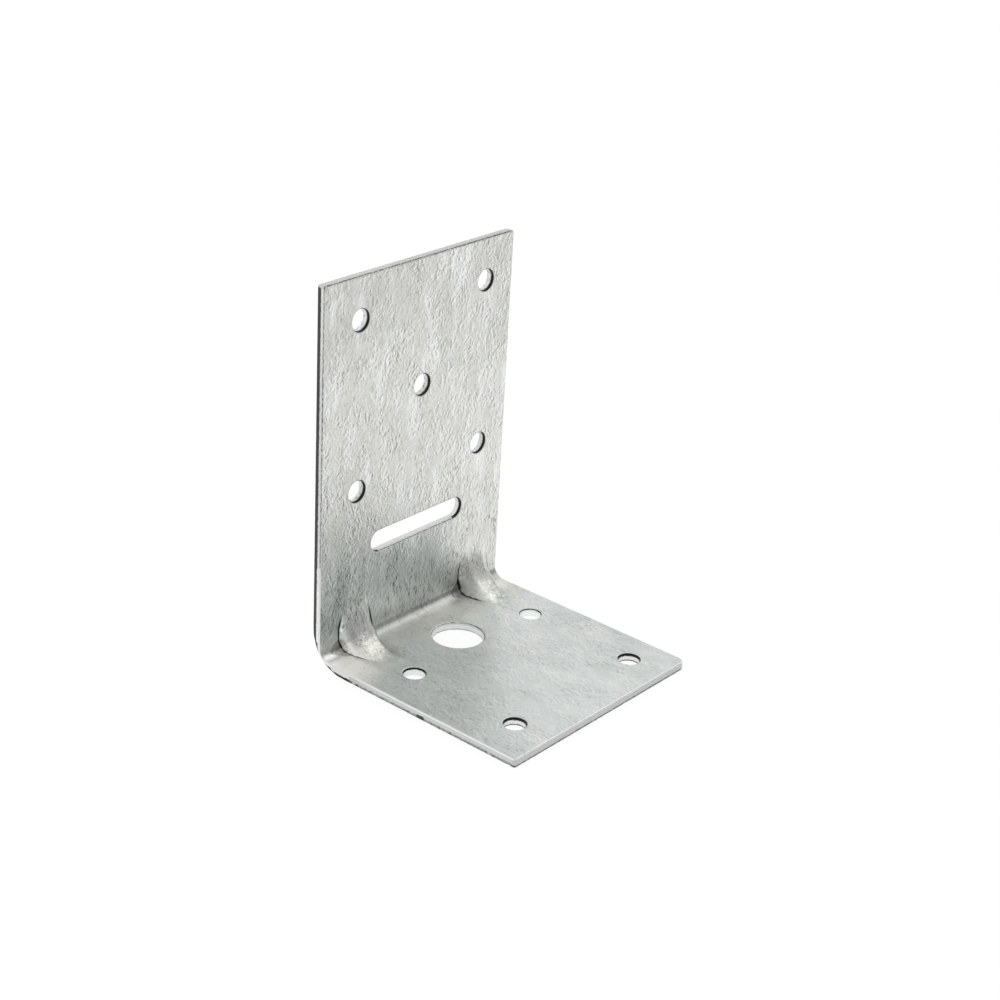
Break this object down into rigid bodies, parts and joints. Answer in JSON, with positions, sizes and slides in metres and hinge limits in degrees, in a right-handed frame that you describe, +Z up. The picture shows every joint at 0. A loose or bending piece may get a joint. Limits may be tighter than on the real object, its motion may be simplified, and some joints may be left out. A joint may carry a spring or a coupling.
{
  "type": "angle bracket",
  "caption": "Galvanised steel angle bracket: a punched sheet folded once, with ribs pressed across the fold, screw holes in both legs, an anchor hole and a slot.",
  "frame": {"origin": "middle of the footprint, on the underside of the base leg, half way between the back face and the front edge", "axes": "+Z up along the upright leg, +Y towards the back face of the upright leg, +X along the fold, to the right when the inside of the bracket is seen from the front"},
  "size_m": [0.06, 0.06, 0.09],
  "materials": {
    "zinc_steel": "hot-dip galvanised sheet, light grey with faint mottling, fine scratches and bright sheared edges"
  },
  "bodies": {
    "root": {"bracket": "zinc_steel"}
  },
  "joints": []
}
